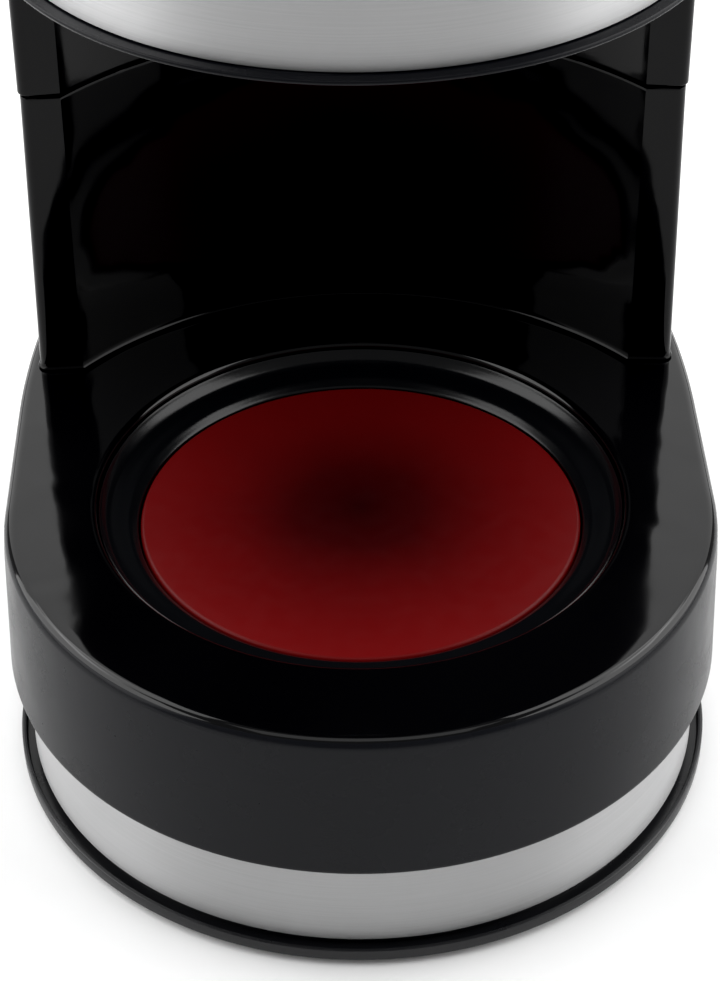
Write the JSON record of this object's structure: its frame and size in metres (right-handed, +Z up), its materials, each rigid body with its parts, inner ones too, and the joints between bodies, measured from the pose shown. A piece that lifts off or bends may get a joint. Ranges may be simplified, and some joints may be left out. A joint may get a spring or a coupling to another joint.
{
  "type": "drip coffee maker",
  "caption": "Drip coffee maker with a D-shaped base, round warming plate, concave column with a rear water tank, and a round brew head with a hinged lid and drip stop.",
  "frame": {"origin": "middle of the footprint, on the surface the feet stand on", "axes": "+Z up, front towards -Y, +X to the right seen from the front"},
  "size_m": [0.163, 0.2126, 0.2832],
  "materials": {
    "gloss_black": "piano gloss",
    "satin_black": "satin",
    "brushed_steel": "brushed along the band",
    "zinc_steel": "zinc plated",
    "red_coating": "dark red non-stick coating, satin",
    "black_rubber": "matt",
    "aluminium": "as extruded",
    "silicone": "translucent white silicone, satin",
    "inner_plastic": "matt moulded",
    "clear_window": "clear moulded plastic",
    "nylon_mesh": "fine nylon mesh"
  },
  "bodies": {
    "machine": {"base_cover": "gloss_black", "base_band": "brushed_steel", "base_plate": "satin_black", "foot_1": "black_rubber", "foot_2": "black_rubber", "foot_3": "black_rubber", "foot_4": "black_rubber", "base_screw_1": "zinc_steel", "base_screw_2": "zinc_steel", "base_screw_3": "zinc_steel", "base_screw_4": "zinc_steel", "warming_plate": "red_coating", "plate_ring": "satin_black", "heater_element": "zinc_steel", "water_tube": "aluminium", "heater_clamp": "zinc_steel", "clamp_screw_left": "zinc_steel", "clamp_screw_right": "zinc_steel", "thermostat": "aluminium", "inlet_hose": "silicone", "outlet_hose": "silicone", "check_valve": "inner_plastic", "cord_gland": "black_rubber", "column_front": "gloss_black", "upper_housing": "gloss_black", "water_tank": "satin_black", "tank_grommet": "silicone", "level_window": "clear_window", "riser_tube": "inner_plastic", "switch_body": "satin_black", "head_rim": "satin_black", "head_band": "brushed_steel", "brew_chamber": "inner_plastic", "filter_basket": "inner_plastic", "mesh_filter": "nylon_mesh", "drip_spring": "zinc_steel", "drip_retainer": "inner_plastic", "top_frame": "satin_black", "hinge_pin_left": "zinc_steel", "hinge_pin_right": "zinc_steel"},
    "lid": {"lid": "gloss_black"},
    "spray_arm": {"spray_arm": "inner_plastic"},
    "drip_stem": {"drip_stem": "silicone"},
    "rocker": {"switch_rocker": "satin_black"},
    "check_ball": {"check_ball": "zinc_steel"}
  },
  "joints": [
    {"name": "lid_hinge", "type": "hinge", "parent": "machine", "child": "lid", "pos_m": [0, 0.09375, 0.2692], "axis": [-1, 0, 0], "range_deg": [0, 95]},
    {"name": "spray_arm_swivel", "type": "hinge", "parent": "machine", "child": "spray_arm", "pos_m": [-0.06, 0.05125, 0.268], "axis": [0, 0, 1], "range_deg": [0, 48]},
    {"name": "drip_stop_slide", "type": "slide", "parent": "machine", "child": "drip_stem", "axis": [0, 0, 1], "range_m": [0, 0.0035], "stiffness_N_per_m": 150, "springref_m": -0.002, "deforming": ["drip_spring"]},
    {"name": "switch_rock", "type": "hinge", "parent": "machine", "child": "rocker", "pos_m": [0.07352, 0.05441, 0.1], "axis": [-0.1618, 0.9868, 0], "range_deg": [0, 18]},
    {"name": "check_ball_lift", "type": "slide", "parent": "machine", "child": "check_ball", "axis": [0, 0, 1], "range_m": [0, 0.0015]}
  ]
}
